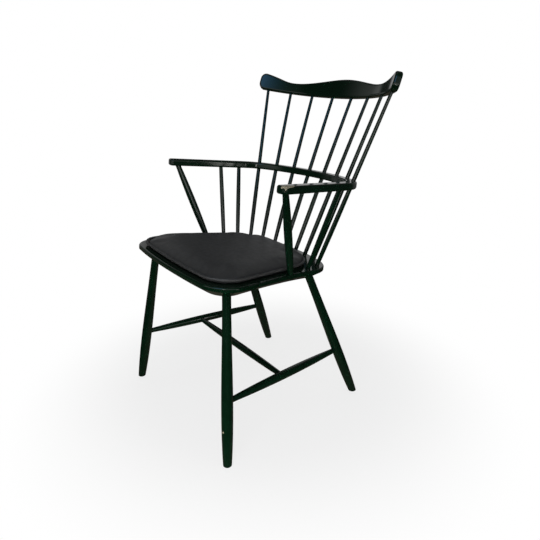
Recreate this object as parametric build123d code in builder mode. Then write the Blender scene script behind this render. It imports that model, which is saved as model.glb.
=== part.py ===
"""Spindle back armchair with a loose leather seat pad.

Frame: +Z up, floor at Z = 0, the sitter looks along -Y, and +X is on the right for
someone who stands in front of the chair and looks at it. The origin is on the floor
in the middle of the chair's box. Lengths are millimetres, angles are degrees.
"""
from math import asin, cos, hypot, radians, sin, sqrt
import os

from build123d import *

os.makedirs("parts", exist_ok=True)

# Seat board: heights and plan are taken at its reference line, which crosses it from side to side
seat_height = 418.9
seat_tilt = 6.4
seat_roll = 0.8
seat_thickness = 28.0
seat_front = 228.0
seat_back = 197.0
seat_front_width = 472.0
seat_waist_width = 380.0
seat_back_width = 372.0
seat_front_corner = 206.0
seat_waist_place = 20.0
seat_back_corner = 160.0
seat_side_hollow = 4.0
seat_front_radius = 68.0
seat_back_radius = 90.0
plan_corners = 2
seat_rim_radius = 4.5
seat_edge_height = 11.0
seat_bevel_width = 25.0

# Legs: where their axes meet the floor and the underside of the seat, and diameters from the floor up
front_foot_spread = 492.0
front_foot_ahead = 216.0
back_foot_spread = 412.0
back_foot_behind = 248.0
front_leg_spread = 363.0
front_leg_ahead = 160.5
back_leg_spread = 312.0
back_leg_behind = 112.5
leg_end_diameter = 18.0
leg_foot_diameter = 21.0
leg_ankle_diameter = 26.0
leg_ankle_height = 55.0
leg_belly_diameter = 28.3
leg_belly_height = 132.0
leg_neck_diameter = 21.0
leg_foot_chamfer = 1.5

# Stretchers
front_stretcher_height = 156.5
back_stretcher_height = 147.5
stretcher_end_diameter = 14.0
stretcher_belly_diameter = 22.5
cross_belly_diameter = 19.5
cross_stretcher_place = 176.0
stretcher_past_axis = 2.0

# Back spindles, in pairs from the middle outwards: feet on the seat, and even steps along the crest rail
back_foot_spreads = (46.5, 136.5, 231.0, 305.0)
back_foot_places = (172.0, 167.5, 157.0, 138.5)
spindle_socket_depth = 12.0
socket_web = 3.0
spindle_foot_diameter = 11.0
spindle_belly_diameter = 12.4
spindle_bow_diameter = 11.0
spindle_top_diameter = 8.5
crest_socket_depth = 15.0

# Short spindles and arm posts: places of their feet on the seat, and along the arm from the post
short_spindle_spreads = (356.0, 326.0)
short_spindle_places = (57.5, 98.0)
short_spindle_diameter = 12.4
short_spindle_end_diameter = 11.0
post_foot_spread = 366.0
post_foot_places = {-1: 3.0, 1: 22.0}
post_foot_diameter = 15.0
post_belly_diameter = 19.5
post_top_diameter = 14.5
first_short_from_post = 136.5
short_spindle_pitch = 60.0
arm_socket_depth = 11.0

# Arm bow
bow_height = 645.0
bow_tilt = 6.0
bow_width = 29.0
bow_thickness = 18.5
bow_corner_radius = 90.0
arm_splay = 8.5
post_top_spread = 494.0
post_top_ahead = 48.0
arm_overhangs = {-1: 22.0, 1: 17.0}
arm_end_radius = 9.0
bow_edge_radius = 5.0

# Crest rail: a leaning plank bent to a radius, with a hump in the middle and an ear at each end
crest_height = 811.5
crest_setback = 354.0
crest_lean = 21.0
crest_radius = 400.0
crest_thickness = 18.0
crest_half_width = 266.0
crest_socket_pitch = 0.278 * crest_half_width
crest_hump = 51.5
crest_dip = 26.0
crest_dip_place = 188.0
crest_ear = 38.0
crest_ear_radius = 17.0
crest_end_drop = 12.0
crest_edge_radius = 5.0

# Loose seat pad: two leather panels sewn to a piped seam around a foam core
pad_front = 211.0
pad_back = 144.0
pad_front_width = 426.0
pad_back_width = 288.0
pad_front_corner = 197.0
pad_back_corner = 138.0
pad_front_radius = 68.0
pad_back_radius = 112.0
pad_seam_height = 9.0
pad_crown_height = 29.0
pad_foot_inset = 7.0
leather_thickness = 1.6
piping_diameter = 5.0
sewing_gap = 0.2
pad_clearance = 0.3

# Joints: clearance round a glued tenon and at the blind end of its socket, how far a socket's cutter runs
# past the surface, and the straight run of a rod past the surface in diameters
glue_gap = 0.1
end_gap = 0.5
cutter_run = 10.0
straight_run = 0.5

# Largest share of a thickness that a rounded edge may take
largest_round = 0.4


def tilted(y, z, angle, roll=0.0):
    """Plane through (0, y, z) whose normal leans back by the angle, its left side raised by the roll."""
    level = Plane(origin=(0, y, z), x_dir=(1, 0, 0), z_dir=(0, sin(radians(angle)), cos(radians(angle))))
    return level.rotated((0, roll, 0))


def meet(start, end, plane):
    """Point where the line from start to end crosses a plane."""
    way = end - start
    return start + way * ((plane.origin - start).dot(plane.z_dir) / way.dot(plane.z_dir))


def side_name(side):
    return "left" if side < 0 else "right"


# The chair's box is centred on the origin: the seat's front edge and the crest's hump set its depth
front_reach = seat_front * cos(radians(seat_tilt)) + seat_edge_height * sin(radians(seat_tilt))
crest_round = min(crest_edge_radius, largest_round * crest_thickness)
hump_reach = (crest_hump - crest_round) * sin(radians(crest_lean))
rear_face_reach = (crest_thickness / 2 - crest_round) * cos(radians(crest_lean))
back_reach = crest_setback + hump_reach + rear_face_reach + crest_round
seat_line = (front_reach - back_reach) / 2

seat_plane = tilted(seat_line, seat_height, seat_tilt, seat_roll)
seat_underside = seat_plane.offset(-seat_thickness)
bow_plane = tilted(seat_line, bow_height, bow_tilt).offset(-bow_thickness / 2)
crest_plane = tilted(seat_line + crest_setback, crest_height, crest_lean)
seat_up = Axis(seat_plane.origin, seat_plane.z_dir)
bow_up = Axis(bow_plane.origin, bow_plane.z_dir)


def on_seat(x, y):
    return seat_plane.from_local_coords(Vector(x, y, 0))


# Axes of the legs, from the floor to the blind end of the tenon in the seat
leg_tenon_depth = seat_thickness - spindle_socket_depth - socket_web


def leg_axis(side, foot_spread, foot_y, top_spread, top_y):
    foot = Vector(side * foot_spread / 2, seat_line + foot_y, 0)
    shoulder = seat_underside.from_local_coords(Vector(side * top_spread / 2, top_y, 0))
    return foot, shoulder, shoulder + (shoulder - foot).normalized() * leg_tenon_depth


leg_axes = {}
for side in (-1, 1):
    leg_axes["front", side] = leg_axis(
        side, front_foot_spread, -front_foot_ahead, front_leg_spread, -front_leg_ahead
    )
    leg_axes["back", side] = leg_axis(
        side, back_foot_spread, back_foot_behind, back_leg_spread, back_leg_behind
    )


def on_leg(leg, height):
    foot, shoulder, _ = leg_axes[leg]
    return foot + (shoulder - foot) * (height / shoulder.Z)


# Axes of the stretchers: each tenon ends a little past the axis of the piece that holds it
def between(start, end):
    way = (end - start).normalized() * stretcher_past_axis
    return start - way, end + way


side_stretcher_axes = {}
cross_ends = []
for side in (-1, 1):
    front_point = on_leg(("front", side), front_stretcher_height)
    back_point = on_leg(("back", side), back_stretcher_height)
    side_stretcher_axes[side] = between(front_point, back_point)
    cross_ends.append(front_point + (back_point - front_point).normalized() * cross_stretcher_place)
cross_stretcher_axis = between(*cross_ends)


# Axes of the back spindles: socket floor, seat surface, lower edge of the crest, end of the crest socket
def crest_drop(x):
    """Fall of the crest's lower edge below its middle, a flat arc."""
    return crest_end_drop * (x / crest_half_width) ** 2


def back_spindle_axis(side, pair):
    seat_point = on_seat(side * back_foot_spreads[pair] / 2, back_foot_places[pair])
    bend = side * (pair + 0.5) * crest_socket_pitch / crest_radius
    x = crest_radius * sin(bend)
    edge_point = crest_plane.from_local_coords(
        Vector(x, crest_radius * (cos(bend) - 1), -crest_drop(x))
    )
    way = (edge_point - seat_point).normalized()
    socket_floor = seat_point - way * (spindle_socket_depth / way.dot(seat_plane.z_dir))
    return socket_floor, seat_point, edge_point, edge_point + way * crest_socket_depth


# Numbered from the left, so the left pairs come first, from the outside in
pairs = range(len(back_foot_spreads))
left_spindle_axes = [back_spindle_axis(-1, pair) for pair in reversed(pairs)]
right_spindle_axes = [back_spindle_axis(1, pair) for pair in pairs]
back_spindle_axes = left_spindle_axes + right_spindle_axes

# Centreline of the arm bow: its back is the circle through the first and third pairs of spindles
bow_crossings = []
for _, seat_point, edge_point, _ in back_spindle_axes:
    bow_crossings.append(meet(seat_point, edge_point, bow_plane))
near, _, far, _ = [bow_plane.to_local_coords(point) for point in bow_crossings[len(left_spindle_axes):]]
bow_centre_y = (near.X**2 + near.Y**2 - far.X**2 - far.Y**2) / (2 * (near.Y - far.Y))
bow_back_radius = hypot(near.X, near.Y - bow_centre_y)

splay = radians(arm_splay)
arm_way = Vector(-sin(splay), cos(splay))
arm_inward = Vector(-cos(splay), -sin(splay))
post_top = Vector(post_top_spread / 2, -post_top_ahead)


def bow_corner():
    """Centre of the right corner arc, tangent to the arm and the back circle, and the arm's run to it."""
    base = post_top + arm_inward * bow_corner_radius - Vector(0, bow_centre_y)
    along = base.dot(arm_way)
    reach = bow_back_radius - bow_corner_radius
    run = -along + sqrt(along**2 - base.dot(base) + reach**2)
    return post_top + arm_inward * bow_corner_radius + arm_way * run, run


corner_centre, arm_run = bow_corner()


def bow_side(offset, side):
    """Tip, arm end, middle of the corner and back end of the line at an offset from the centreline."""
    tip = post_top - arm_way * arm_overhangs[side] - arm_inward * offset
    arm_end = post_top + arm_way * arm_run - arm_inward * offset
    outward = (corner_centre - Vector(0, bow_centre_y)).normalized()
    back_end = corner_centre + outward * (bow_corner_radius + offset)
    halfway = (outward - arm_inward).normalized()
    corner_middle = corner_centre + halfway * (bow_corner_radius + offset)
    return [(side * p.X, p.Y) for p in (tip, arm_end, corner_middle, back_end)]


def on_bow(side, from_post):
    point = post_top + arm_way * from_post
    return bow_plane.from_local_coords(Vector(side * point.X, point.Y, 0))


def arm_rod_axis(side, spread, place, from_post):
    """Socket floor in the seat, seat surface, underside of the arm and end of the socket in the arm."""
    seat_point = on_seat(side * spread / 2, place)
    arm_underside = bow_plane.offset(-bow_thickness / 2)
    under_point = meet(seat_point, on_bow(side, from_post), arm_underside)
    way = (under_point - seat_point).normalized()
    socket_floor = seat_point - way * (spindle_socket_depth / way.dot(seat_plane.z_dir))
    arm_end = under_point + way * (arm_socket_depth / way.dot(bow_plane.z_dir))
    return socket_floor, seat_point, under_point, arm_end


post_axes = {side: arm_rod_axis(side, post_foot_spread, post_foot_places[side], 0) for side in (-1, 1)}
short_spindle_axes = {}
for row, (spread, place) in enumerate(zip(short_spindle_spreads, short_spindle_places)):
    for side in (-1, 1):
        from_post = first_short_from_post + row * short_spindle_pitch
        short_spindle_axes[("front", "back")[row], side] = arm_rod_axis(side, spread, place, from_post)

# The front short spindle on the right has come out: its two sockets stay open
missing_spindle = ("front", 1)


def socket(inner, outer, diameter):
    """Cut a round socket from its blind end to past the surface where the rod comes out."""
    way = (outer - inner).normalized()
    length = (outer - inner).length + end_gap + cutter_run
    with Locations(Plane(origin=inner - way * end_gap, z_dir=way)):
        from_end = (Align.CENTER, Align.CENTER, Align.MIN)
        Cylinder(diameter / 2 + glue_gap, length, align=from_end, mode=Mode.SUBTRACT)


def turned_rod(start, end, sections):
    """A rod turned about the line from start to end.

    Each section is a list of (distance, diameter) stations: two make a straight run, more a smooth swell.
    """
    way = end - start
    side_on = Plane(origin=start, x_dir=way, z_dir=way.cross(Vector(0, 0, 1)).cross(way))
    with BuildPart() as rod:
        with BuildSketch(side_on):
            with BuildLine():
                first = (sections[0][0][0], sections[0][0][1] / 2)
                last = (sections[-1][-1][0], sections[-1][-1][1] / 2)
                Line((first[0], 0), first)
                for section in sections:
                    points = [(distance, diameter / 2) for distance, diameter in section]
                    if len(points) == 2:
                        Line(*points)
                    else:
                        Spline(*points)
                Line(last, (last[0], 0))
                Line((last[0], 0), (first[0], 0))
            make_face()
        revolve(axis=Axis(start, way))
    return rod.part


def export(part, name):
    part.label = name
    export_step(part, f"parts/{name}.step")


# Seat board: shield-shaped plan, rounded upper rim, wide bevel underneath
with BuildPart() as seat:
    with BuildSketch(seat_plane) as plan:
        with BuildLine():
            half_front = seat_front_width / 2
            half_back = seat_back_width / 2
            front_y = -seat_front_corner
            back_y = seat_back_corner
            ThreePointArc((-half_front, front_y), (0, -seat_front), (half_front, front_y))
            ThreePointArc((-half_back, back_y), (0, seat_back), (half_back, back_y))
            for side in (-1, 1):
                front_corner = Vector(side * half_front, front_y)
                back_corner = Vector(side * half_back, back_y)
                waist = Vector(side * seat_waist_width / 2, seat_waist_place)
                hollow = (front_corner + waist) / 2 - Vector(side * seat_side_hollow, 0)
                flank = ThreePointArc(front_corner, hollow, waist)
                TangentArc(waist, back_corner, tangent=flank % 1)
        make_face()
        fillet(plan.vertices().sort_by(Axis.Y)[:plan_corners], seat_front_radius)
        fillet(plan.vertices().sort_by(Axis.Y)[-plan_corners:], seat_back_radius)
    extrude(amount=-seat_thickness)
    underside = seat.faces().sort_by(seat_up)[0]
    chamfer(underside.edges(), seat_bevel_width, seat_thickness - seat_edge_height, reference=underside)
    rim_radius = min(seat_rim_radius, largest_round * seat_edge_height)
    fillet(seat.faces().sort_by(seat_up)[-1].edges(), rim_radius)
    for _, shoulder, top in leg_axes.values():
        socket(top, shoulder, leg_neck_diameter)
    for floor, surface, *_ in back_spindle_axes:
        socket(floor, surface, spindle_foot_diameter)
    for floor, surface, *_ in short_spindle_axes.values():
        socket(floor, surface, short_spindle_end_diameter)
    for floor, surface, *_ in post_axes.values():
        socket(floor, surface, post_foot_diameter)
export(seat.part, "seat")


# Legs: turned with a belly at stretcher height, cut level with the floor
below_floor = leg_foot_diameter
tenon_lead = straight_run * leg_neck_diameter
for (end, side), (foot, shoulder, top) in leg_axes.items():
    way = (shoulder - foot).normalized()
    start = foot - way * below_floor
    neck = (shoulder - start).length - tenon_lead
    swell = [(0, leg_end_diameter), (below_floor, leg_foot_diameter)]
    swell += [(below_floor + leg_ankle_height, leg_ankle_diameter)]
    swell += [(below_floor + leg_belly_height, leg_belly_diameter), (neck, leg_neck_diameter)]
    straight = [(neck, leg_neck_diameter), ((top - start).length, leg_neck_diameter)]
    turned = turned_rod(start, top, [swell, straight])
    stretcher = side_stretcher_axes[side]
    inner, outer = stretcher if end == "front" else reversed(stretcher)
    with BuildPart() as leg:
        add(turned)
        split(bisect_by=Plane.XY, keep=Keep.TOP)
        chamfer(leg.faces().sort_by(Axis.Z)[0].edges(), leg_foot_chamfer)
        socket(inner, inner + (outer - inner).normalized() * leg_belly_diameter, stretcher_end_diameter)
    export(leg.part, f"leg_{end}_{side_name(side)}")


# Stretchers: a straight tenon at each end and a belly where the cross stretcher meets the side ones
def stretcher_rod(axis, holder_diameter, belly_place, belly_diameter):
    start, end = axis
    length = (end - start).length
    tenon = stretcher_past_axis + holder_diameter / 2 + straight_run * stretcher_end_diameter
    first = [(0, stretcher_end_diameter), (tenon, stretcher_end_diameter)]
    swell = [(tenon, stretcher_end_diameter), (belly_place, belly_diameter)]
    swell += [(length - tenon, stretcher_end_diameter)]
    last = [(length - tenon, stretcher_end_diameter), (length, stretcher_end_diameter)]
    return turned_rod(start, end, [first, swell, last])


for side, axis in side_stretcher_axes.items():
    rod = stretcher_rod(
        axis, leg_belly_diameter, stretcher_past_axis + cross_stretcher_place, stretcher_belly_diameter
    )
    inner, outer = cross_stretcher_axis if side < 0 else reversed(cross_stretcher_axis)
    with BuildPart() as side_stretcher:
        add(rod)
        reach = (outer - inner).normalized() * stretcher_belly_diameter
        socket(inner, inner + reach, stretcher_end_diameter)
    export(side_stretcher.part, f"stretcher_{side_name(side)}")

cross_length = (cross_stretcher_axis[1] - cross_stretcher_axis[0]).length
cross = stretcher_rod(
    cross_stretcher_axis, stretcher_belly_diameter, cross_length / 2, cross_belly_diameter
)
export(cross, "stretcher_cross")

# Back spindles: straight where seat, bow and crest hold them, a belly below the bow, a taper above it
bow_grip = bow_thickness / 2 + straight_run * spindle_bow_diameter
foot_lead = straight_run * spindle_foot_diameter
top_lead = straight_run * spindle_top_diameter
for number, (axis, crossing) in enumerate(zip(back_spindle_axes, bow_crossings), start=1):
    start, surface, edge, end = axis
    at_seat = (surface - start).length + foot_lead
    at_bow = (crossing - start).length
    at_crest = (edge - start).length - top_lead
    foot = [(0, spindle_foot_diameter), (at_seat, spindle_foot_diameter)]
    belly = [(at_seat, spindle_foot_diameter), ((at_seat + at_bow) / 2, spindle_belly_diameter)]
    belly += [(at_bow - bow_grip, spindle_bow_diameter)]
    grip = [(at_bow - bow_grip, spindle_bow_diameter), (at_bow + bow_grip, spindle_bow_diameter)]
    taper = [(at_bow + bow_grip, spindle_bow_diameter), (at_crest, spindle_top_diameter)]
    tip = [(at_crest, spindle_top_diameter), ((end - start).length, spindle_top_diameter)]
    export(turned_rod(start, end, [foot, belly, grip, taper, tip]), f"back_spindle_{number}")


# Arm posts and short spindles: straight ends and a belly between them
def arm_rod(axis, foot_diameter, belly_diameter, top_diameter):
    start, surface, under, end = axis
    at_seat = (surface - start).length + straight_run * foot_diameter
    at_arm = (under - start).length - straight_run * top_diameter
    foot = [(0, foot_diameter), (at_seat, foot_diameter)]
    belly = [(at_seat, foot_diameter), ((at_seat + at_arm) / 2, belly_diameter), (at_arm, top_diameter)]
    top = [(at_arm, top_diameter), ((end - start).length, top_diameter)]
    return turned_rod(start, end, [foot, belly, top])


for side, axis in post_axes.items():
    post = arm_rod(axis, post_foot_diameter, post_belly_diameter, post_top_diameter)
    export(post, f"arm_post_{side_name(side)}")

for (end, side), axis in short_spindle_axes.items():
    if (end, side) != missing_spindle:
        rod = arm_rod(axis, short_spindle_end_diameter, short_spindle_diameter, short_spindle_end_diameter)
        export(rod, f"arm_spindle_{side_name(side)}_{end}")

# Arm bow: one bent rail, round-cornered at the arm ends, bored through for the back spindles
with BuildPart() as arm_bow:
    with BuildSketch(bow_plane):
        with BuildLine():
            ends = []
            for offset in (bow_width / 2, -bow_width / 2):
                right_tip, right_arm, right_corner, right_back = bow_side(offset, 1)
                left_tip, left_arm, left_corner, left_back = bow_side(offset, -1)
                Line(right_tip, right_arm)
                ThreePointArc(right_arm, right_corner, right_back)
                ThreePointArc(right_back, (0, bow_centre_y + bow_back_radius + offset), left_back)
                ThreePointArc(left_back, left_corner, left_arm)
                Line(left_arm, left_tip)
                ends.append((right_tip, left_tip))
            for outer, inner in zip(*ends):
                Line(outer, inner)
        plan = make_face()
        arm_corners = 4
        fillet(plan.vertices().sort_by(Axis.Y)[:arm_corners], arm_end_radius)
    extrude(amount=bow_thickness / 2, both=True)
    faces = arm_bow.faces().sort_by(bow_up)
    fillet(faces[0].edges() + faces[-1].edges(), min(bow_edge_radius, largest_round * bow_thickness))
    for (start, _, _, end), crossing in zip(back_spindle_axes, bow_crossings):
        with Locations(Plane(origin=crossing, z_dir=end - start)):
            Cylinder(spindle_bow_diameter / 2 + glue_gap, 2 * bow_grip, mode=Mode.SUBTRACT)
    for _, _, under, top in short_spindle_axes.values():
        socket(top, under, short_spindle_end_diameter)
    for _, _, under, top in post_axes.values():
        socket(top, under, post_top_diameter)
export(arm_bow.part, "arm_bow")

# Crest rail: a bent plank with square ends, cut to a wave on top, ears rounded and long edges softened
crest_front = Plane(origin=crest_plane.origin, x_dir=(1, 0, 0), z_dir=-crest_plane.y_dir)
plank_end = asin(crest_half_width / crest_radius)
past_end = crest_half_width + crest_thickness
plank_margin = 2 * crest_end_drop
length_slack = crest_thickness / 5
with BuildPart() as crest_rail:
    with BuildSketch(crest_plane.offset(-plank_margin)):
        with BuildLine():
            bounds = []
            for radius in (crest_radius - crest_thickness / 2, crest_radius + crest_thickness / 2):
                x, y = radius * sin(plank_end), radius * cos(plank_end) - crest_radius
                ThreePointArc((-x, y), (0, radius - crest_radius), (x, y))
                bounds.append(((-x, y), (x, y)))
            for inner, outer in zip(*bounds):
                Line(inner, outer)
        make_face()
    extrude(amount=crest_hump + 2 * plank_margin)
    with BuildSketch(crest_front):
        with BuildLine():
            low = -crest_drop(past_end)
            ThreePointArc((-past_end, low), (0, 0), (past_end, low))
            Line((past_end, low), (past_end, crest_ear))
            wave = [(past_end, crest_ear), (crest_dip_place, crest_dip), (0, crest_hump)]
            wave += [(-crest_dip_place, crest_dip), (-past_end, crest_ear)]
            Spline(*wave, tangents=((-1, 0), (-1, 0)))
            Line((-past_end, crest_ear), (-past_end, low))
        make_face()
    extrude(amount=crest_radius, both=True, mode=Mode.INTERSECT)
    ears = crest_rail.edges().filter_by(lambda edge: abs(edge.length - crest_thickness) < length_slack)
    fillet(ears, crest_ear_radius)
    fillet(crest_rail.faces().sort_by(SortBy.AREA)[-2:].edges(), crest_round)
    for _, _, edge, end in back_spindle_axes:
        socket(end, edge, spindle_top_diameter)
export(crest_rail.part, "crest_rail")


# Seat pad: sections are the same plan at several sizes and heights above the seat
pad_middle = (pad_back - pad_front) / 2
half_pad = pad_back_width / 2


def pad_section(scale, height):
    """The pad's plan, scaled about its middle, at a height above the seat."""
    def place(x, y):
        return (x * scale, pad_middle + (y - pad_middle) * scale)

    with BuildSketch(seat_plane.offset(height), mode=Mode.PRIVATE) as section:
        with BuildLine():
            front_right = place(pad_front_width / 2, -pad_front_corner)
            back_right = place(pad_back_width / 2, pad_back_corner)
            front_left = (-front_right[0], front_right[1])
            back_left = (-back_right[0], back_right[1])
            ThreePointArc(front_left, place(0, -pad_front), front_right)
            Line(front_right, back_right)
            ThreePointArc(back_right, place(0, pad_back), back_left)
            Line(back_left, front_left)
        make_face()
        fillet(section.vertices().sort_by(Axis.Y)[:plan_corners], pad_front_radius * scale)
        fillet(section.vertices().sort_by(Axis.Y)[-plan_corners:], pad_back_radius * scale)
    return section.sketch


def pad_loft(stations, mode=Mode.ADD):
    loft([pad_section(scale, height) for scale, height in stations], ruled=True, mode=mode)


def upper_stations(skin):
    """Crowned top: how far in and how high it is, a skin's thickness inside the outer face."""
    rise = pad_crown_height - pad_seam_height
    crown = ((1.0, 0.0), (0.99, 0.2), (0.97, 0.42), (0.93, 0.66), (0.84, 0.86), (0.66, 0.96), (0.3, 1.0))
    return [(size - skin / half_pad, pad_seam_height + (rise - skin) * share) for size, share in crown]


def lower_stations(skin):
    """Underside drawn in from the seam to the flat that lies on the seat."""
    fall = pad_seam_height - pad_clearance - skin
    inset = pad_foot_inset / half_pad
    drawn = ((1.0, 0.0), (1.0 - 0.3 * inset, 0.6), (1.0 - inset, 1.0))
    return [(size - skin / half_pad, pad_seam_height - fall * share) for size, share in drawn]


def piping_ring(diameter):
    """A round cord along the seam, one stretch for each line and arc of the plan."""
    seam_line = pad_section(1.0, pad_seam_height).faces()[0].outer_wire()
    with BuildPart() as ring:
        for stretch in seam_line.edges():
            with BuildSketch(Plane(origin=stretch @ 0, z_dir=stretch % 0)):
                Circle(diameter / 2)
            sweep(path=stretch)
    return ring.part


piping = piping_ring(piping_diameter)
piping_groove = piping_ring(piping_diameter + 2 * sewing_gap)
export(piping, "cushion_piping")

for name, stations in (("cushion_top_cover", upper_stations), ("cushion_bottom_cover", lower_stations)):
    with BuildPart() as cover:
        pad_loft(stations(0))
        pad_loft(stations(leather_thickness), mode=Mode.SUBTRACT)
        add(piping_groove, mode=Mode.SUBTRACT)
    export(cover.part, name)

with BuildPart() as foam:
    pad_loft(upper_stations(leather_thickness + sewing_gap))
    pad_loft(lower_stations(leather_thickness + sewing_gap))
    add(piping_groove, mode=Mode.SUBTRACT)
export(foam.part, "cushion_foam")
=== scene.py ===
import math

import bmesh
import bpy
import numpy as np
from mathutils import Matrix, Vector


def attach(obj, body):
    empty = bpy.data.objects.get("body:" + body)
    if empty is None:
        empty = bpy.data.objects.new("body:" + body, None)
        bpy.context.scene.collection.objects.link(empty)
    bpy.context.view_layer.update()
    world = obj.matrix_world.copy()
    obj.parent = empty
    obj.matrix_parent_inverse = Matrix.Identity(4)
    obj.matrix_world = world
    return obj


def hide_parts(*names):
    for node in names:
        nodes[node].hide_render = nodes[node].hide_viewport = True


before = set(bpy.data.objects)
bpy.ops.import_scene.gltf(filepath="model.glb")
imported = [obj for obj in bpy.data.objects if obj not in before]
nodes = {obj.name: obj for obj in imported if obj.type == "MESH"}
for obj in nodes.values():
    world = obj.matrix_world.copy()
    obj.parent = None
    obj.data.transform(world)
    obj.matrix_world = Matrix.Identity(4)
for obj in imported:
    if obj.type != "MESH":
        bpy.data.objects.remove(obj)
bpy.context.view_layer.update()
scene = bpy.context.scene

# All lengths are in metres. A pair of values is a range unless its line says otherwise.

# Seat plane, as in the part's source
seat_height = 0.4189
seat_line = -0.075797
seat_tilt = math.radians(6.4)
seat_roll = math.radians(0.8)

# Pad, as in the part's source
pad_front = 0.211
pad_back = 0.144
pad_front_width = 0.426
pad_back_width = 0.288
pad_front_corner = 0.197
pad_back_corner = 0.138
pad_front_radius = 0.068
pad_back_radius = 0.112
pad_seam_height = 0.009
pad_foot_inset = 0.007
pad_clearance = 0.0003

# Points on the pad's lines, and cells along each side of its grid
arc_points = 60
arc_middle = arc_points // 2
outline_points = 1500
edge_points = 900
held_step = 3
pad_cells = 64
even_share = 0.25

# Slack form of the pad: how fast it rises from each side, and the groove beside the welt
slack_rise = 0.0175
front_reach = 0.026
right_reach = 0.020
left_reach = 0.011
back_reach = 0.006
near_power = 0.8
far_power = 0.55
groove_start = 0.0012
groove_width = 0.0046
groove_end = 0.0085
groove_depth = 0.0022

# Cloth simulation of the pad
cloth_quality = 6
cloth_mass = 0.3
stretch_stiffness = 12.0
shear_stiffness = 6.0
bending_stiffness = 6.0
pressure = 4.0
largest_move = 0.0025
last_frame = 20
tiny = 1e-6
least_length = 1e-9

# Welt, with waves around its ring given by size, count and start in radians
welt_diameter = 0.0066
welt_lift = 0.0008
welt_steps = 420
welt_sides = 14
height_waves = ((0.00022, 17, 0.6), (0.000154, 31, 2.1))
width_waves = ((0.03, 43, 0.0), (0.025, 71, 1.0))

# Green gloss paint. Each bump has a strength and a distance.
noise_band = (0.3, 0.7)
paint_dark = (0.0008, 0.0092, 0.0037, 1.0)
paint_light = (0.0016, 0.0140, 0.0058, 1.0)
paint_roughness = (0.08, 0.15)
paint_specular = 0.5
patch_scale = 9.0
lump_scale = 26.0
lump_bump = (0.12, 0.0008)
stroke_bump = (0.1, 0.0002)
stroke_fine = 330.0
stroke_long = 16.0
bend_depth = (0.06, 0.15)

# Chips down to the pale primer, each by its middle and its half lengths
bow_chips = [
    ((0.2560, -0.1225, 0.6495), (0.0090, 0.0190, 0.0040)),
    ((0.2535, -0.1385, 0.6480), (0.0030, 0.0030, 0.0030)),
    ((0.2618, -0.1350, 0.6455), (0.0020, 0.0020, 0.0040)),
]
leg_chips = [
    ((0.2352, -0.2937, 0.0885), (0.0024, 0.0024, 0.0022)),
]
primer_dark = (0.24, 0.21, 0.13, 1.0)
primer_light = (0.46, 0.42, 0.31, 1.0)
primer_roughness = 0.6
ragged_scale = 160.0
ragged_size = 1.2
chip_edge = (1.55, 1.62)

# Black leather
leather_dark = (0.0370, 0.0370, 0.0370, 1.0)
leather_light = (0.0480, 0.0478, 0.0476, 1.0)
leather_roughness = (0.42, 0.56)
leather_patch_scale = 11.0
pebble_scale = 620.0
crease_scale = 85.0
crease_bump = (0.25, 0.0006)
pebble_bump = (0.25, 0.0003)

# Camera, fitted to the photograph
camera_place = (1.0592, -0.7829, 0.8511)
camera_forward = (-0.7454, 0.5666, -0.3512)
camera_lens = 33.14
camera_sensor = 36.0

# World and floor
pure_white = (1.0, 1.0, 1.0, 1.0)
white_strength = 1.0
fill_colour = (0.94, 0.97, 1.0, 1.0)
fill_heights = (0.05, 0.6)
fill_strengths = (0.40, 0.2)
floor_half = 12.0
floor_colour = (0.9, 0.89, 0.87, 1.0)
# Painted shade on the floor: the share of white glow is lower near the chair, over this reach of
# distance from the middle
painted_shade_reach = (0.3, 0.75)
white_shares = (0.78, 1.0)

# Card just above the floor: its light, more light near the chair, and more on the left
ground_half = 2.5
ground_count = 101
ground_height = 0.0008
ground_tint = (1.0, 0.84, 0.66)
ground_strength = 0.02
ground_near_strength = 0.07
ground_near = (0.3, 0.55)
ground_left_strength = 0.06
ground_left = (0.5, 1.1)

# Dome of light: bands by strength, then degrees around and degrees up, each as low, high and blur
dome_radius = 2.4
dome_stretch = 1.25
dome_lift = 0.001
dome_first, dome_last = -186.0, 174.0
dome_columns = 145
dome_rows = 46
dome_base = 0.03
every_height = (-10.0, 100.0, 10.0)
dome_bands = [
    (0.125, (-400.0, -174.0, 28.0), every_height),
    (0.125, (-400.0, -174.0, 28.0), (-20.0, 25.0, 20.0)),
    (0.60, (-100.0, 8.0, 10.0), (14.0, 27.0, 4.0)),
    (0.25, (-100.0, 8.0, 10.0), (14.0, 42.0, 4.0)),
    (0.50, (118.0, 139.0, 6.0), (8.0, 38.0, 6.0)),
    (0.42, (164.0, 174.0, 5.0), (-10.0, 25.0, 10.0)),
    (0.10, (84.0, 112.0, 8.0), every_height),
]
zenith_strength = 0.30
zenith_heights = (65.0, 85.0)

# Blue part of the dome: its middle and half widths in degrees
blue_middle = (-52.0, 46.0)
blue_half = (20.0, 8.0)
blue_light = (0.46, 1.5, 2.9)

# Lamps
pale_blue = (0.7, 0.85, 1.0)
warm_white = (1.0, 0.98, 0.94)
plain_white = (1.0, 1.0, 1.0)


# Node helpers
def new_material(name):
    made = bpy.data.materials.new(name)
    made.use_nodes = True
    tree = made.node_tree
    tree.nodes.clear()
    output = tree.nodes.new("ShaderNodeOutputMaterial")
    shader = tree.nodes.new("ShaderNodeBsdfPrincipled")
    tree.links.new(shader.outputs["BSDF"], output.inputs["Surface"])
    return made, tree, shader


def add(tree, kind, links=None, values=None, **settings):
    node = tree.nodes.new("ShaderNode" + kind)
    for key, value in settings.items():
        setattr(node, key, value)
    for key, value in (values or {}).items():
        node.inputs[key].default_value = value
    for key, socket in (links or {}).items():
        tree.links.new(socket, node.inputs[key])
    return node


def fill_input(tree, entry, given):
    """Links a socket to the entry, or sets the entry to a plain value."""
    if isinstance(given, bpy.types.NodeSocket):
        tree.links.new(given, entry)
    else:
        entry.default_value = given


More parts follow.
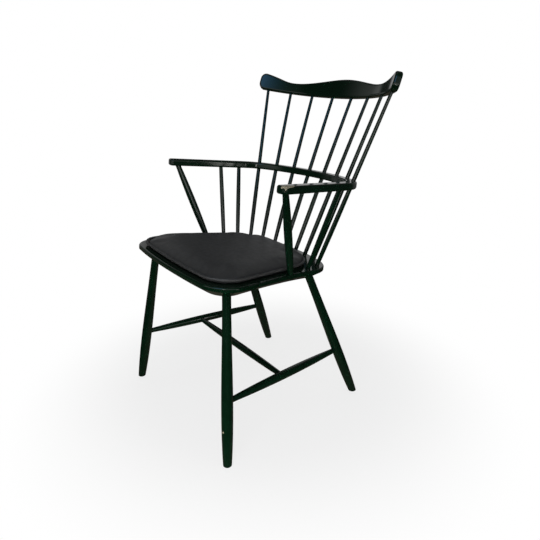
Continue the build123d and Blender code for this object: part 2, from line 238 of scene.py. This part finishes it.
def mix_colour(tree, share, first, second):
    """Mixes two colours. Each of share, first and second is a socket or a plain value."""
    node = tree.nodes.new("ShaderNodeMix")
    node.data_type = "RGBA"
    for place, given in ((0, share), (6, first), (7, second)):
        fill_input(tree, node.inputs[place], given)
    return node.outputs[2]


def map_range(tree, socket, source, target, smooth=False):
    """Maps the range source to the range target."""
    node = add(
        tree, "MapRange", {"Value": socket},
        {"From Min": source[0], "From Max": source[1], "To Min": target[0], "To Max": target[1]},
    )
    node.interpolation_type = "SMOOTHSTEP" if smooth else "LINEAR"
    return node.outputs["Result"]


def math_node(tree, operation, first, second):
    node = tree.nodes.new("ShaderNodeMath")
    node.operation = operation
    for entry, given in zip(node.inputs, (first, second)):
        fill_input(tree, entry, given)
    return node.outputs[0]


def noise(tree, coordinates, scale, detail=3.0, roughness=0.5, stretch=None):
    if stretch is not None:
        mapping = add(tree, "Mapping", {"Vector": coordinates}, {"Scale": stretch})
        coordinates = mapping.outputs["Vector"]
    return add(
        tree, "TexNoise", {"Vector": coordinates},
        {"Scale": scale, "Detail": detail, "Roughness": roughness},
    ).outputs["Fac"]


def bump(tree, height, amount, before=None):
    """A bump of the given strength and distance, on top of the bump before it."""
    links = {"Height": height}
    if before is not None:
        links["Normal"] = before
    strength, distance = amount
    return add(
        tree, "Bump", links, {"Strength": strength, "Distance": distance}
    ).outputs["Normal"]


# Gloss paint, brushed along each piece, with a few chips down to the primer
def chip_mask(tree, place, chips):
    """1 inside the chips, with a ragged edge, and 0 elsewhere."""
    ragged = noise(tree, place, ragged_scale, detail=4.0, roughness=0.6)
    share = None
    for middle, half in chips:
        offset = add(tree, "VectorMath", {0: place}, {1: middle}, operation="SUBTRACT")
        scaled = add(tree, "VectorMath", {0: offset.outputs[0]}, {1: half}, operation="DIVIDE")
        reach = add(tree, "VectorMath", {0: scaled.outputs[0]}, operation="LENGTH").outputs["Value"]
        reach = math_node(tree, "ADD", reach, math_node(tree, "MULTIPLY", ragged, ragged_size))
        found = map_range(tree, reach, chip_edge, (1.0, 0.0))
        share = found if share is None else math_node(tree, "MAXIMUM", share, found)
    return share


def green_paint(name, stretch, bent_stretch=None, chips=()):
    """Paint brushed along stretch, which turns to bent_stretch at the back of the bow."""
    made, tree, shader = new_material(name)
    place = add(tree, "TexCoord").outputs["Object"]
    patches = noise(tree, place, patch_scale)
    lumps = noise(tree, place, lump_scale, detail=2.0)
    strokes = noise(tree, place, 1.0, detail=4.0, stretch=stretch)
    if bent_stretch is not None:
        other = noise(tree, place, 1.0, detail=4.0, stretch=bent_stretch)
        depth = add(tree, "SeparateXYZ", {0: place}).outputs["Y"]
        bent = map_range(tree, depth, bend_depth, (0.0, 1.0), smooth=True)
        kept = math_node(tree, "MULTIPLY", strokes, math_node(tree, "SUBTRACT", 1.0, bent))
        strokes = math_node(tree, "ADD", kept, math_node(tree, "MULTIPLY", other, bent))
    colour = mix_colour(
        tree, map_range(tree, patches, noise_band, (0.0, 1.0)), paint_dark, paint_light
    )
    gloss = map_range(tree, strokes, noise_band, paint_roughness)
    if chips:
        bare = chip_mask(tree, place, chips)
        primer = mix_colour(tree, lumps, primer_dark, primer_light)
        colour = mix_colour(tree, bare, colour, primer)
        bare_gloss = math_node(tree, "MULTIPLY", bare, primer_roughness)
        gloss = math_node(tree, "MAXIMUM", gloss, bare_gloss)
    tree.links.new(colour, shader.inputs["Base Color"])
    tree.links.new(gloss, shader.inputs["Roughness"])
    uneven = bump(tree, lumps, lump_bump)
    uneven = bump(tree, strokes, stroke_bump, uneven)
    tree.links.new(uneven, shader.inputs["Normal"])
    shader.inputs["Specular IOR Level"].default_value = paint_specular
    return made


upright = (stroke_fine, stroke_fine, stroke_long)
deep = (stroke_fine, stroke_long, stroke_fine)
across = (stroke_long, stroke_fine, stroke_fine)
upright_paint = green_paint("green_paint_upright", upright)
deep_paint = green_paint("green_paint_deep", deep)
across_paint = green_paint("green_paint_across", across)
bow_paint = green_paint("green_paint_bow", deep, across, bow_chips)
leg_paint = green_paint("green_paint_leg", upright, chips=leg_chips)

paints = {
    "seat": deep_paint,
    "stretcher_left": deep_paint,
    "stretcher_right": deep_paint,
    "stretcher_cross": across_paint,
    "crest_rail": across_paint,
    "arm_bow": bow_paint,
    "leg_front_right": leg_paint,
}
for name, node in nodes.items():
    node.data.materials.clear()
    node.data.materials.append(paints.get(name, upright_paint))
    for polygon in node.data.polygons:
        polygon.material_index = 0


# Black leather with a pebbled grain
def black_leather(name):
    made, tree, shader = new_material(name)
    place = add(tree, "TexCoord").outputs["Object"]
    patches = noise(tree, place, leather_patch_scale)
    pebbles = add(tree, "TexVoronoi", {"Vector": place}, {"Scale": pebble_scale})
    creases = noise(tree, place, crease_scale, detail=5.0, roughness=0.62)
    colour = mix_colour(
        tree, map_range(tree, patches, noise_band, (0.0, 1.0)), leather_dark, leather_light
    )
    tree.links.new(colour, shader.inputs["Base Color"])
    gloss = map_range(tree, creases, noise_band, leather_roughness)
    tree.links.new(gloss, shader.inputs["Roughness"])
    rough = bump(tree, creases, crease_bump)
    rough = bump(tree, pebbles.outputs["Distance"], pebble_bump, rough)
    tree.links.new(rough, shader.inputs["Normal"])
    return made


leather = black_leather("black_leather_grain")


# Outline of the pad, in the plane of the seat
def arc(centre, start, end):
    """Points of a circular arc from start to end, by the short way."""
    centre, start, end = np.array(centre), np.array(start), np.array(end)
    first = math.atan2(*(start - centre)[::-1])
    last = math.atan2(*(end - centre)[::-1])
    turn = (last - first + math.pi) % (2 * math.pi) - math.pi
    angles = first + turn * np.linspace(0.0, 1.0, arc_points)
    radius = np.linalg.norm(start - centre)
    return centre + radius * np.stack([np.cos(angles), np.sin(angles)], 1)


def bulge_centre(half_width, corner, middle):
    """Centre and radius of the arc through both corners and the middle, on the line x = 0."""
    sagitta = abs(middle - corner)
    radius = (half_width**2 + sagitta**2) / (2 * sagitta)
    return np.array([0.0, middle - math.copysign(radius, middle)]), radius


def corner_arc(centre, radius, fillet, start, along, inward, nearest):
    """Middle and ends of the rounded corner between the arc round centre and the straight side."""
    origin = start + inward * fillet - centre
    half = origin @ along
    root = math.sqrt(half**2 - origin @ origin + (radius - fillet) ** 2)
    travel = min((-half - root, -half + root), key=lambda t: abs(t - nearest))
    middle = centre + origin + along * travel
    on_arc = centre + (middle - centre) * radius / (radius - fillet)
    on_side = middle - inward * fillet
    return middle, on_arc, on_side


front_right = np.array([pad_front_width / 2, -pad_front_corner])
back_right = np.array([pad_back_width / 2, pad_back_corner])
side_length = np.linalg.norm(back_right - front_right)
side_along = (back_right - front_right) / side_length
side_inward = np.array([-side_along[1], side_along[0]])
front_centre, front_bulge = bulge_centre(front_right[0], -pad_front_corner, -pad_front)
back_centre, back_bulge = bulge_centre(back_right[0], pad_back_corner, pad_back)
front_turn = corner_arc(
    front_centre, front_bulge, pad_front_radius, front_right, side_along, side_inward, 0.0
)
back_turn = corner_arc(
    back_centre, back_bulge, pad_back_radius, front_right, side_along, side_inward, side_length
)
front_round = arc(*front_turn)
back_round = arc(back_turn[0], back_turn[2], back_turn[1])
front_half = np.concatenate([
    arc(front_centre, (0.0, -pad_front), front_turn[1]), front_round[:arc_middle + 1],
])
right_edge = np.concatenate([front_round[arc_middle:], back_round[:arc_middle + 1]])
back_half = np.concatenate([
    back_round[arc_middle:], arc(back_centre, back_turn[1], (0.0, pad_back)),
])
mirror = np.array([-1.0, 1.0])
front_edge = np.concatenate([(front_half * mirror)[::-1], front_half[1:]])
back_edge = np.concatenate([back_half * mirror, back_half[::-1][1:]])
left_edge = right_edge * mirror


def resample(points, shares):
    """Points at the given shares of a line's length."""
    steps = np.linalg.norm(np.diff(points, axis=0), axis=1)
    run = np.concatenate([[0.0], np.cumsum(steps)])
    return np.stack(
        [np.interp(np.asarray(shares) * run[-1], run, points[:, i]) for i in range(2)], 1
    )


def distance(points, line):
    """Distance of each point from the nearest point of a line."""
    return np.sqrt(((points[:, None, :] - line[None]) ** 2).sum(2).min(1))


seat_middle = np.array([0.0, seat_line, seat_height])
level_up = np.array([0.0, math.sin(seat_tilt), math.cos(seat_tilt)])
seat_deep = np.array([0.0, math.cos(seat_tilt), -math.sin(seat_tilt)])
seat_across = math.cos(seat_roll) * np.array([1.0, 0.0, 0.0]) - math.sin(seat_roll) * level_up
seat_axes = np.stack([seat_across, seat_deep, np.cross(seat_across, seat_deep)])


def on_seat(points):
    """Places points (x, y, height above the seat) of the seat's plane in the chair's frame."""
    return seat_middle + points @ seat_axes


def seat_coordinates(points):
    """The inverse of on_seat."""
    return (points - seat_middle) @ seat_axes.T


# Grid between the pad's four edges, and how far each of its points lies from the outline
outline = np.concatenate([
    front_edge, right_edge[1:], back_edge[::-1][1:], left_edge[::-1][1:-1],
])
closed_outline = np.concatenate([outline, outline[:1]])
fine_outline = resample(closed_outline, np.linspace(0.0, 1.0, outline_points))[:-1]

even = np.linspace(0.0, 1.0, pad_cells + 1)
shares = even_share * even + (1 - even_share) * (0.5 - 0.5 * np.cos(math.pi * even))
front_points = resample(front_edge, shares)
back_points = resample(back_edge, shares)
left_points = resample(left_edge, shares)
right_points = resample(right_edge, shares)
u = shares[:, None, None]
v = shares[None, :, None]
grid = (
    (1 - v) * front_points[:, None] + v * back_points[:, None]
    + (1 - u) * left_points[None] + u * right_points[None]
    - (1 - u) * (1 - v) * front_points[0] - u * (1 - v) * front_points[-1]
    - (1 - u) * v * back_points[0] - u * v * back_points[-1]
)
flat = grid.reshape(-1, 2)
inset = distance(flat, fine_outline)

side_count = pad_cells + 1
index = np.arange(side_count**2).reshape(side_count, side_count)
rim = np.zeros((side_count, side_count), bool)
rim[0, :] = rim[-1, :] = rim[:, 0] = rim[:, -1] = True


def smooth(value, low, high):
    """0 up to low, 1 from high, and a smooth step between."""
    share = np.clip((value - low) / (high - low), 0.0, 1.0)
    return share * share * (3 - 2 * share)


def side_rise(edge, reach, start):
    """Share of the full height that each point of the grid has, as seen from one side."""
    line = resample(edge, np.linspace(0.0, 1.0, edge_points))
    away = np.clip(distance(flat, line) - start, 0.0, None)
    return 1.0 - np.exp(-away / reach)


near_rise = side_rise(front_edge, front_reach, groove_width)
near_rise = near_rise * side_rise(right_edge, right_reach, groove_width)
far_rise = side_rise(back_edge, back_reach, 0.0) * side_rise(left_edge, left_reach, 0.0)
rise = near_rise**near_power * far_rise**far_power
groove = groove_depth * smooth(inset, groove_start, groove_width)
groove = groove * (1 - smooth(inset, groove_width, groove_end))
top = np.column_stack([flat, pad_seam_height + slack_rise * rise - groove])
top[rim.ravel(), 2] = pad_seam_height
fall = pad_seam_height - pad_clearance
bottom = np.column_stack([flat, pad_seam_height - fall * smooth(inset, 0.0, pad_foot_inset)])


def quads(table):
    """Four-sided faces between the neighbours in a table of point numbers."""
    return np.stack(
        [table[:-1, :-1], table[1:, :-1], table[1:, 1:], table[:-1, 1:]], 2
    ).reshape(-1, 4)


def new_object(name, points, faces, material):
    """A smooth-shaded mesh without loose points, with its normals outward."""
    mesh = bpy.data.meshes.new(name)
    mesh.from_pydata([tuple(p) for p in points], [], [tuple(int(i) for i in f) for f in faces])
    shape = bmesh.new()
    shape.from_mesh(mesh)
    loose = [vertex for vertex in shape.verts if not vertex.link_faces]
    bmesh.ops.delete(shape, geom=loose, context="VERTS")
    bmesh.ops.recalc_face_normals(shape, faces=shape.faces)
    shape.to_mesh(mesh)
    shape.free()
    mesh.materials.append(material)
    for polygon in mesh.polygons:
        polygon.use_smooth = True
    made = bpy.data.objects.new(name, mesh)
    scene.collection.objects.link(made)
    return made


# Pad: a flat-bottomed form, blown up by the cloth simulation between its seam and the seat
under = np.where(rim, index, index + side_count**2)
pad_points = np.concatenate([top, bottom])
pad_faces = np.concatenate([quads(index), quads(under)[:, ::-1]])
cushion = new_object("cushion_body", on_seat(pad_points), pad_faces, leather)


def read(mesh):
    found = np.zeros(len(mesh.vertices) * 3)
    mesh.vertices.foreach_get("co", found)
    return found.reshape(-1, 3)


def blow_up(piece):
    """Runs Blender's cloth with the pad's seam and underside held, and keeps the result."""
    start = read(piece.data)
    local = seat_coordinates(start)
    away = distance(local[:, :2], fine_outline[::held_step])
    held = (local[:, 2] <= pad_seam_height + tiny) | (away < groove_width)
    group = piece.vertex_groups.new(name="held")
    group.add([int(i) for i in np.flatnonzero(held)], 1.0, "REPLACE")
    cloth = piece.modifiers.new("cloth", "CLOTH")
    settings = cloth.settings
    settings.quality = cloth_quality
    settings.mass = cloth_mass
    settings.tension_stiffness = stretch_stiffness
    settings.compression_stiffness = stretch_stiffness
    settings.shear_stiffness = shear_stiffness
    settings.bending_stiffness = bending_stiffness
    settings.use_pressure = True
    settings.uniform_pressure_force = pressure
    settings.vertex_group_mass = "held"
    settings.effector_weights.gravity = 0.0
    cloth.collision_settings.use_collision = False
    cloth.point_cache.frame_start = 1
    cloth.point_cache.frame_end = last_frame
    for number in range(1, last_frame + 1):
        scene.frame_set(number)
    shown = piece.evaluated_get(bpy.context.evaluated_depsgraph_get())
    moved = read(shown.data) - start
    length = np.linalg.norm(moved, axis=1)
    capped = largest_move * np.tanh(length / largest_move)
    moved *= (capped / np.maximum(length, least_length))[:, None]
    piece.modifiers.remove(cloth)
    piece.vertex_groups.clear()
    scene.frame_set(1)
    piece.data.vertices.foreach_set("co", (start + moved).ravel())
    piece.data.update()


blow_up(cushion)

divide = cushion.modifiers.new("smooth", "SUBSURF")
divide.levels = 1
divide.render_levels = 1
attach(cushion, "cushion")
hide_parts("cushion_top_cover", "cushion_bottom_cover", "cushion_foam")


# Welt: a leather covered cord along the seam
def waves(turn, table):
    return sum(size * np.sin(count * turn + start) for size, count, start in table)


def welt_ring():
    line = resample(closed_outline, np.linspace(0.0, 1.0, welt_steps + 1))[:-1]
    ahead = np.roll(line, -1, 0) - np.roll(line, 1, 0)
    ahead /= np.linalg.norm(ahead, axis=1)[:, None]
    outward = np.stack([ahead[:, 1], -ahead[:, 0]], 1)
    turn = np.arange(welt_steps) / welt_steps * 2 * math.pi
    middle = pad_seam_height + welt_lift + waves(turn, height_waves)
    radius = welt_diameter / 2 * (1 + waves(turn, width_waves))
    points = []
    for side in range(welt_sides):
        angle = 2 * math.pi * side / welt_sides
        aside = (radius * math.cos(angle))[:, None] * outward
        points.append(np.column_stack([line + aside, middle + radius * math.sin(angle)]))
    points = np.stack(points, 1).reshape(-1, 3)
    first = np.arange(welt_steps * welt_sides).reshape(welt_steps, welt_sides)
    second = np.roll(first, -1, 0)
    faces = np.stack([first, second, np.roll(second, -1, 1), np.roll(first, -1, 1)], 2)
    return points, faces.reshape(-1, 4)


welt_points, welt_faces = welt_ring()
welt = new_object("cushion_welt", on_seat(welt_points), welt_faces, leather)
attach(welt, "cushion")
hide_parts("cushion_piping")

# Camera
camera = bpy.data.objects.new("camera", bpy.data.cameras.new("camera"))
camera.data.lens = camera_lens
camera.data.sensor_width = camera_sensor
camera.location = camera_place
camera.rotation_mode = "QUATERNION"
camera.rotation_quaternion = Vector(camera_forward).to_track_quat("-Z", "Y")
scene.collection.objects.link(camera)
scene.camera = camera


# Studio: white background, pale floor, cards that show only in reflections, and soft lamps
def seen_rays(tree):
    """1 for rays from the camera, reflections and transmission, and 0 for the rest."""
    path = add(tree, "LightPath")
    seen = math_node(tree, "MAXIMUM", path.outputs["Is Camera Ray"], path.outputs["Is Glossy Ray"])
    return math_node(tree, "MAXIMUM", seen, path.outputs["Is Transmission Ray"])


world = bpy.data.worlds.new("studio")
scene.world = world
world.use_nodes = True
tree = world.node_tree
tree.nodes.clear()
white = add(tree, "Background", values={"Color": pure_white, "Strength": white_strength})
upward = add(tree, "SeparateXYZ", {0: add(tree, "TexCoord").outputs["Generated"]}).outputs["Z"]
fill_strength = map_range(tree, upward, fill_heights, fill_strengths, smooth=True)
fill = add(tree, "Background", {"Strength": fill_strength}, {"Color": fill_colour})
mixed = add(
    tree, "MixShader", {0: seen_rays(tree), 1: fill.outputs[0], 2: white.outputs[0]}
)
add(tree, "OutputWorld", {"Surface": mixed.outputs[0]})


def stage_object(name, points, faces, material):
    made = new_object(name, np.array(points), np.array(faces), material)
    return made


# The floor keeps the chair's real shadow in its lit part, and has a painted pool of shade around
# the chair: less white glow near the chair, fading to the white of the background further out
floor_paint = bpy.data.materials.new("pale_floor")
floor_paint.use_nodes = True
tree = floor_paint.node_tree
tree.nodes.clear()
matt = add(tree, "BsdfDiffuse", values={"Color": floor_colour})
glow = add(tree, "Emission", values={"Color": pure_white, "Strength": white_strength})
place = add(tree, "TexCoord").outputs["Object"]
away = add(tree, "VectorMath", {0: place}, operation="LENGTH").outputs["Value"]
# Painted shade: less white glow near the chair makes a grey pool around it
white_share = map_range(tree, away, painted_shade_reach, white_shares, smooth=True)
share = math_node(tree, "MULTIPLY", seen_rays(tree), white_share)
mixed = add(tree, "MixShader", {0: share, 1: matt.outputs[0], 2: glow.outputs[0]})
add(tree, "OutputMaterial", {"Surface": mixed.outputs[0]})
floor_corners = [
    (x * floor_half, y * floor_half, 0.0) for x, y in ((-1, -1), (1, -1), (1, 1), (-1, 1))
]
stage_object("floor", floor_corners, [(0, 1, 2, 3)], floor_paint)


def reflection_card(name, points, faces, colours):
    """A card that shows only in reflections, with its own light at each of its points."""
    made, tree, shader = new_material(name)
    tree.nodes.remove(shader)
    light = add(tree, "Attribute", attribute_name="light").outputs["Color"]
    glow = add(tree, "Emission", {"Color": light}, {"Strength": 1.0})
    tree.links.new(glow.outputs[0], tree.nodes["Material Output"].inputs["Surface"])
    made.cycles.emission_sampling = "NONE"
    card = stage_object(name, points, faces, made)
    lights = card.data.attributes.new("light", "FLOAT_COLOR", "POINT")
    colours = np.column_stack([colours, np.ones(len(colours))])
    lights.data.foreach_set("color", colours.ravel())
    card.visible_camera = False
    card.visible_diffuse = False
    card.visible_shadow = False
    card.visible_transmission = False


def grid_faces(rows, columns):
    return quads(np.arange(rows * columns).reshape(rows, columns))


ground_line = np.linspace(-ground_half, ground_half, ground_count)
ground_x, ground_y = np.meshgrid(ground_line, ground_line, indexing="ij")
ground_z = np.full_like(ground_x, ground_height)
ground_points = np.stack([ground_x, ground_y, ground_z], 2).reshape(-1, 3)
ground_away = np.hypot(ground_points[:, 0], ground_points[:, 1])
ground_light = ground_strength + ground_near_strength * (1 - smooth(ground_away, *ground_near))
ground_light += ground_left_strength * smooth(-ground_points[:, 0], *ground_left)
reflection_card(
    "ground_card", ground_points, grid_faces(ground_count, ground_count),
    np.outer(ground_light, ground_tint),
)


def between(values, low, high, blur):
    """1 from low to high, fading to 0 over blur on both sides."""
    return smooth(values, low - blur, low) * (1 - smooth(values, high, high + blur))


wide, high = np.meshgrid(
    np.linspace(dome_first, dome_last, dome_columns), np.linspace(0.0, 90.0, dome_rows),
    indexing="ij",
)
turn, lift = np.radians(wide), np.radians(high)
dome_points = np.stack([
    dome_radius * np.cos(lift) * np.cos(turn),
    dome_radius * np.cos(lift) * np.sin(turn),
    dome_lift + dome_stretch * dome_radius * np.sin(lift),
], 2).reshape(-1, 3)
dome_strength = np.full_like(wide, dome_base)
for strength, degrees, heights in dome_bands:
    dome_strength += strength * between(wide, *degrees) * between(high, *heights)
dome_strength += (zenith_strength - dome_strength) * smooth(high, *zenith_heights)
blue_wide = (wide - blue_middle[0]) / blue_half[0]
blue_high = (high - blue_middle[1]) / blue_half[1]
blue_patch = np.exp(-(blue_wide**2) - blue_high**2)
dome_light = np.outer(dome_strength.ravel(), plain_white) + np.outer(blue_patch.ravel(), blue_light)
reflection_card("dome_card", dome_points, grid_faces(dome_columns, dome_rows), dome_light)


def area_lamp(name, place, target, size, radiance, colour):
    """A soft lamp of the given width and height, whose face has the given brightness."""
    lamp = bpy.data.lights.new(name, "AREA")
    lamp.shape = "RECTANGLE"
    lamp.size, lamp.size_y = size
    lamp.energy = radiance * math.pi * size[0] * size[1]
    lamp.color = colour
    made = bpy.data.objects.new(name, lamp)
    made.location = place
    aim = Vector(target) - Vector(place)
    made.rotation_mode = "QUATERNION"
    made.rotation_quaternion = aim.to_track_quat("-Z", "Y")
    made.visible_camera = False
    scene.collection.objects.link(made)
    return made


soft_box = area_lamp(
    "soft_box", place=(0.84, -0.9, 2.1), target=(0.0, 0.2, 0.8),
    size=(1.1, 0.7), radiance=1.0, colour=pale_blue,
)
soft_box.visible_glossy = False
area_lamp(
    "strip_right", place=(2.0, 0.62, 0.75), target=(0.0, 0.1, 0.7),
    size=(0.16, 0.9), radiance=4.0, colour=warm_white,
)
area_lamp(
    "strip_front", place=(1.75, -1.2, 0.85), target=(0.0, 0.1, 0.7),
    size=(0.16, 0.7), radiance=6.0, colour=warm_white,
)
area_lamp(
    "top_light", place=(-0.6, 0.3, 2.9), target=(0.0, 0.0, 0.4),
    size=(2.2, 2.2), radiance=0.5, colour=plain_white,
)
low_light = area_lamp(
    "low_light", place=(1.0, -1.1, 0.25), target=(0.0, 0.0, 0.1),
    size=(0.9, 0.4), radiance=2.5, colour=plain_white,
)
low_light.data.spread = math.radians(80.0)
low_light.visible_glossy = False

scene.view_settings.view_transform = "Standard"
